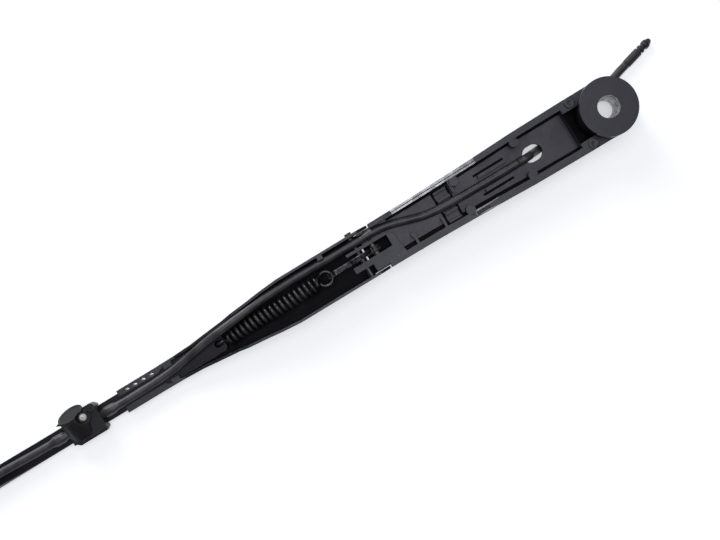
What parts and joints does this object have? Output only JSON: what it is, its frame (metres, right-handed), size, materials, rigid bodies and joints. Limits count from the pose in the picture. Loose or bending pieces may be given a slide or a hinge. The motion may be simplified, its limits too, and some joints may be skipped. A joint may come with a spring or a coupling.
{
  "type": "windscreen wiper arm",
  "caption": "Windscreen wiper arm lying on its back: cast spindle head, sprung folding channel, flat rod with a hook, washer hose and clip-on jets.",
  "frame": {"origin": "spindle axis, at the face that the spindle nut seats on", "axes": "+X along the arm to its tip, +Z along the spindle bore towards the glass, +Y across the arm"},
  "size_m": [0.5993, 0.0376, 0.0345],
  "materials": {
    "black_casting": "satin black paint",
    "black_sheet": "satin black paint",
    "black_rod": "satin black paint",
    "bush": "dull",
    "pin_steel": "dull",
    "link_steel": "dark, oiled",
    "spring_steel": "dark, oiled",
    "hose_rubber": "matt to satin",
    "sleeve_rubber": "matt",
    "connector_plastic": "matt",
    "clip_plastic": "matt",
    "jet_plastic": "satin",
    "cap_plastic": "satin",
    "jet_ball": "satin"
  },
  "bodies": {
    "head": {"head_casting": "black_casting", "bush_thin_ear": "bush", "bush_thick_ear": "bush", "anchor_pin": "pin_steel", "hose_clip": "clip_plastic", "hose_head": "hose_rubber", "hose_tail": "hose_rubber", "hose_sleeve": "sleeve_rubber", "hose_connector": "connector_plastic"},
    "arm": {"channel": "black_sheet", "rod": "black_rod", "pivot_pin": "pin_steel", "hose_arm": "hose_rubber", "jet_body_1": "jet_plastic", "jet_cap_1": "cap_plastic", "jet_ring_1": "cap_plastic", "jet_body_2": "jet_plastic", "jet_cap_2": "cap_plastic", "jet_ring_2": "cap_plastic"},
    "link": {"spring_link": "link_steel", "spring": "spring_steel"},
    "jet_1": {"jet_ball_1": "jet_ball"},
    "jet_2": {"jet_ball_2": "jet_ball"}
  },
  "joints": [
    {"name": "arm_fold", "type": "hinge", "parent": "head", "child": "arm", "pos_m": [0.1522, 0, -0.0035], "axis": [0, 1, 0], "range_deg": [0, 50], "stiffness_Nm_per_rad": 3, "springref_deg": -45.84},
    {"name": "link_swing", "type": "hinge", "parent": "head", "child": "link", "pos_m": [0.1437, 0, 0.002], "axis": [0, 1, 0], "range_deg": [0, 46], "deforming": ["spring"]},
    {"name": "jet_aim_1", "type": "hinge", "parent": "arm", "child": "jet_1", "pos_m": [0.3238, -0.00396, 0.00304], "axis": [0, 1, 0], "range_deg": [-12, 12]},
    {"name": "jet_aim_2", "type": "hinge", "parent": "arm", "child": "jet_2", "pos_m": [0.46498, -0.00709, 0.00819], "axis": [-0.0362, 0.9397, 0.3401], "range_deg": [-12, 12]}
  ],
  "couplings": [
    {"joint": "link_swing", "follows": "arm_fold", "ratio": 0.897}
  ]
}
